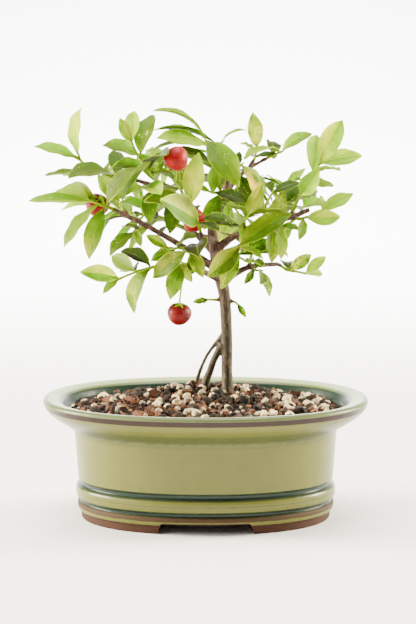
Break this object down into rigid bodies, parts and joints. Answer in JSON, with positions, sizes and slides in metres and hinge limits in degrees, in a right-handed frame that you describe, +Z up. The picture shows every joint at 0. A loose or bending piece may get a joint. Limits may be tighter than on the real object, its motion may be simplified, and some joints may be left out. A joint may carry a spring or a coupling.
{
  "type": "potted bonsai tree",
  "caption": "Barbados cherry bonsai: a small branching tree with opposite glossy leaves and red fruit, in an oval glazed pot filled with gritty soil.",
  "frame": {"origin": "on the table under the middle of the pot, at the middle of the whole object's box", "axes": "+Z up, -Y towards the front of the pot, +X to the right as seen from the front"},
  "size_m": [0.154, 0.1213, 0.191],
  "materials": {
    "glaze": "gloss",
    "soil": "matte",
    "net": "matte",
    "bark": "matte",
    "leaf": "satin",
    "fruit": "gloss"
  },
  "bodies": {
    "root": {"cherry_front": "fruit", "cherry_hanging": "fruit", "cherry_left": "fruit", "cherry_top": "fruit", "drain_screen_left": "net", "drain_screen_right": "net", "leafy_stem_back_crown": "leaf", "leafy_stem_back_left_crown": "leaf", "leafy_stem_back_left_side": "leaf", "leafy_stem_back_left_tip": "leaf", "leafy_stem_back_left_up": "leaf", "leafy_stem_back_low": "leaf", "leafy_stem_back_right_side": "leaf", "leafy_stem_back_right_tip": "leaf", "leafy_stem_back_right_up": "leaf", "leafy_stem_back_tip": "leaf", "leafy_stem_cherry_stem": "leaf", "leafy_stem_crown": "leaf", "leafy_stem_crown_back": "leaf", "leafy_stem_crown_front": "leaf", "leafy_stem_crown_low": "leaf", "leafy_stem_crown_right": "leaf", "leafy_stem_front_centre": "leaf", "leafy_stem_front_low": "leaf", "leafy_stem_front_right_low": "leaf", "leafy_stem_front_right_tip": "leaf", "leafy_stem_left_back": "leaf", "leafy_stem_left_down": "leaf", "leafy_stem_left_low": "leaf", "leafy_stem_left_tip": "leaf", "leafy_stem_left_up": "leaf", "leafy_stem_low_left_tip": "leaf", "leafy_stem_low_left_under": "leaf", "leafy_stem_low_right_tip": "leaf", "leafy_stem_low_right_top": "leaf", "leafy_stem_low_right_under": "leaf", "leafy_stem_right_back": "leaf", "leafy_stem_right_front": "leaf", "leafy_stem_right_mid_front": "leaf", "leafy_stem_right_mid_up": "leaf", "leafy_stem_right_tip": "leaf", "leafy_stem_right_top": "leaf", "leafy_stem_top_left_front": "leaf", "leafy_stem_top_left_tip": "leaf", "leafy_stem_top_left_up": "leaf", "leafy_stem_top_right_tip": "leaf", "leafy_stem_top_right_up": "leaf", "leafy_stem_trunk_left": "leaf", "leafy_stem_trunk_right": "leaf", "pot": "glaze", "soil": "soil", "trunk": "bark"}
  },
  "joints": []
}
